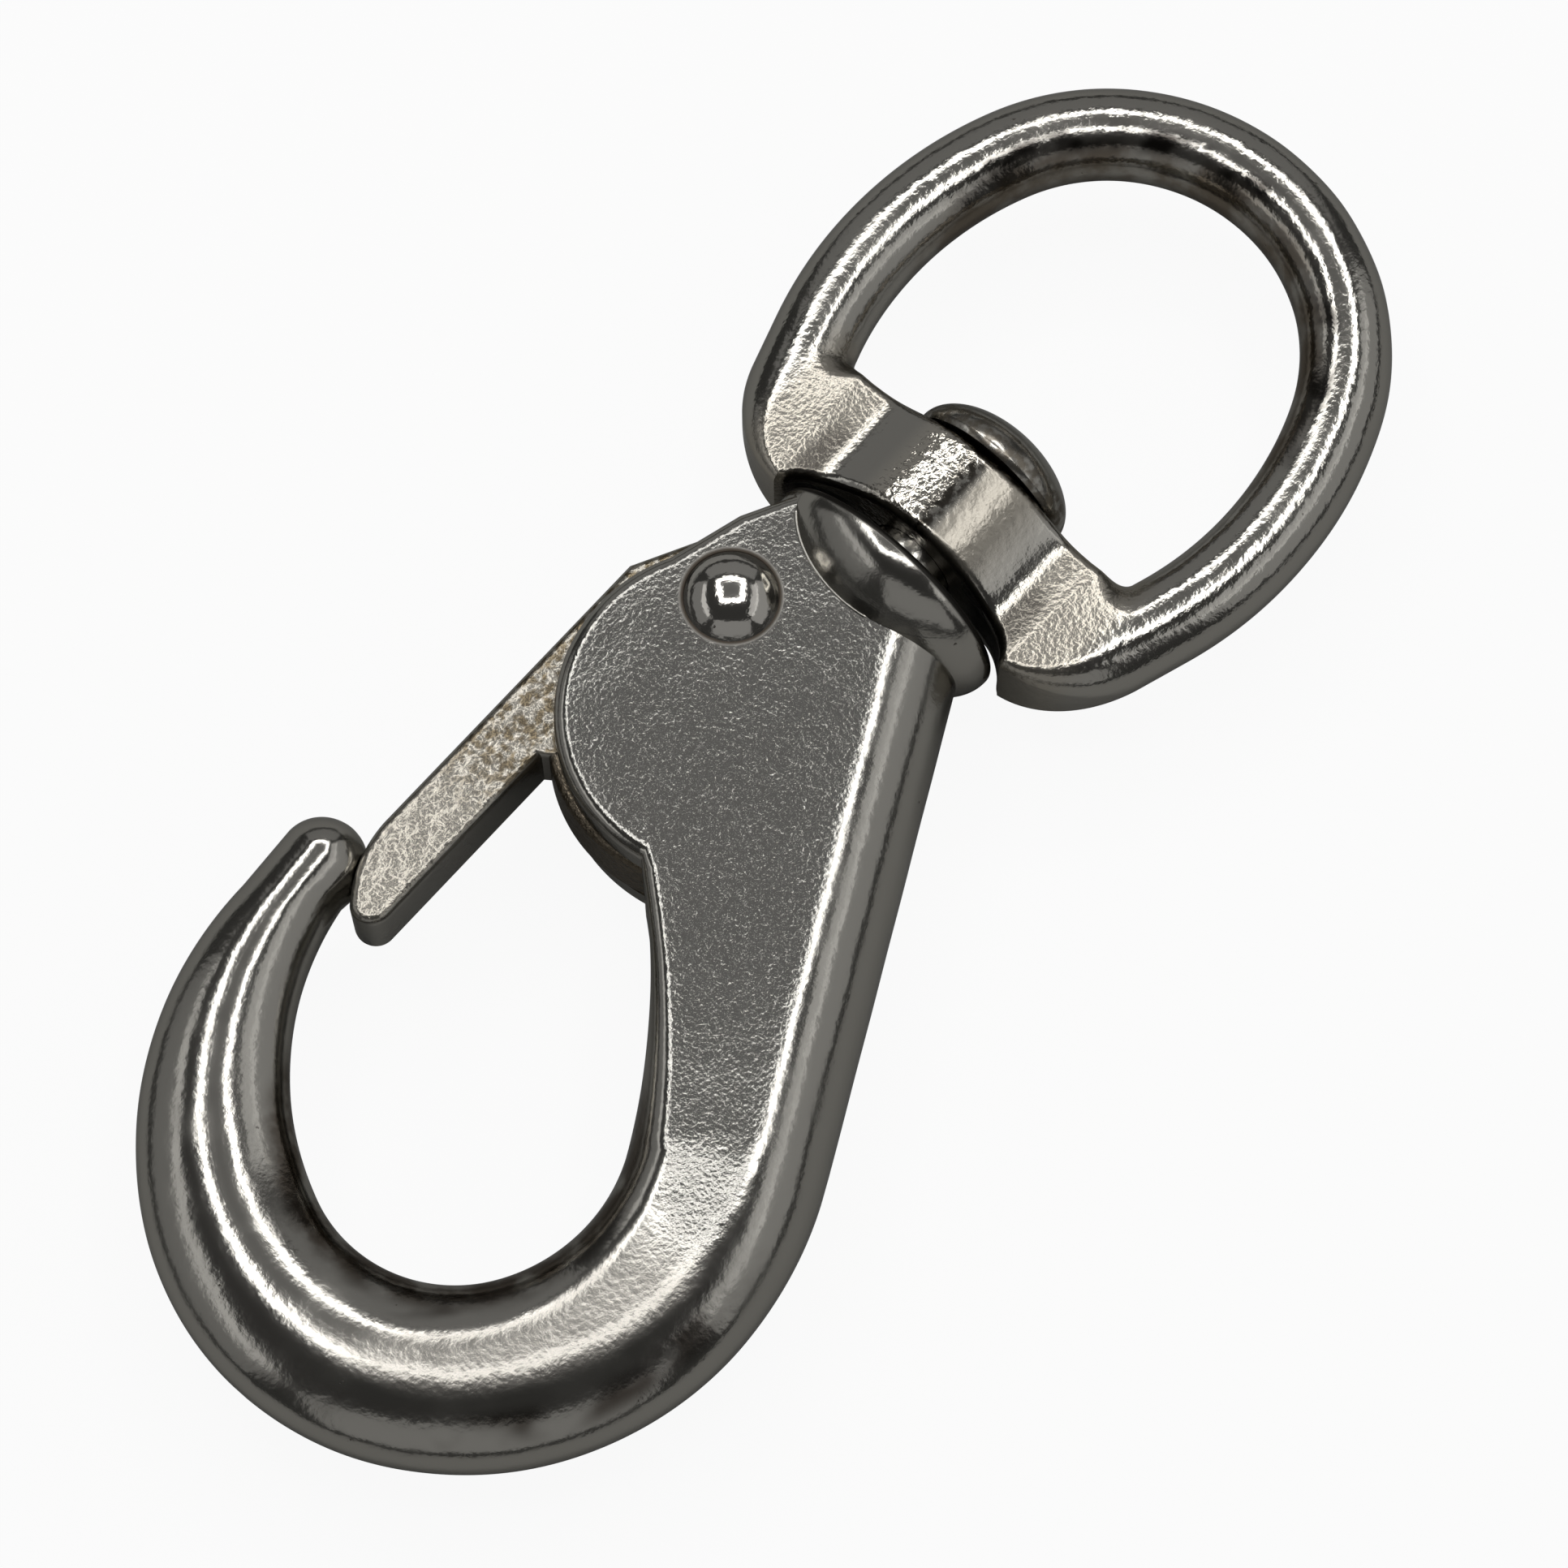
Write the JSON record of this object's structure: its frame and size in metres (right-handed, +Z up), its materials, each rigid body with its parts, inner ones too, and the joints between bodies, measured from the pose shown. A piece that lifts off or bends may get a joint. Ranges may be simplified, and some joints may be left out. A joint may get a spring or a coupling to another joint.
{
  "type": "swivel snap hook",
  "caption": "Cast snap hook with a sprung gate that closes its bow, turning on a riveted D-shaped swivel eye for webbing.",
  "frame": {"origin": "inside of the eye's crown, where the webbing pulls, on the swivel axis and in the middle of the thickness", "axes": "+X along the swivel axis from the bow towards the eye, +Y towards the gate, +Z up through the thickness, the hook lying flat"},
  "size_m": [0.1073, 0.0459, 0.0178],
  "materials": {
    "cast_nickel": "nickel-plated casting, polished on its rounds and sand-grained on its flats",
    "gate_nickel": "nickel-plated casting with a coarse, warm grain on its faces",
    "eye_nickel": "nickel-plated casting, polished bar with a crinkled boss",
    "rivet_nickel": "polished nickel plate",
    "pin_steel": "plated steel, dull on the head",
    "spring_steel": "drawn spring wire"
  },
  "bodies": {
    "hook": {"hook_body": "cast_nickel", "gate_rivet": "rivet_nickel", "swivel_pin": "pin_steel", "gate_spring": "spring_steel"},
    "gate": {"gate": "gate_nickel"},
    "eye": {"swivel_eye": "eye_nickel"}
  },
  "joints": [
    {"name": "eye_swivel", "type": "hinge", "parent": "hook", "child": "eye", "pos_m": [-0.0285, 0, 0], "axis": [1, 0, 0], "continuous": true},
    {"name": "gate_swing", "type": "hinge", "parent": "hook", "child": "gate", "pos_m": [-0.04335, 0.0057, 0], "axis": [0, 0, 1], "range_deg": [0, 32], "stiffness_Nm_per_rad": 0.15, "springref_deg": -34.38, "deforming": ["gate_spring"]}
  ]
}
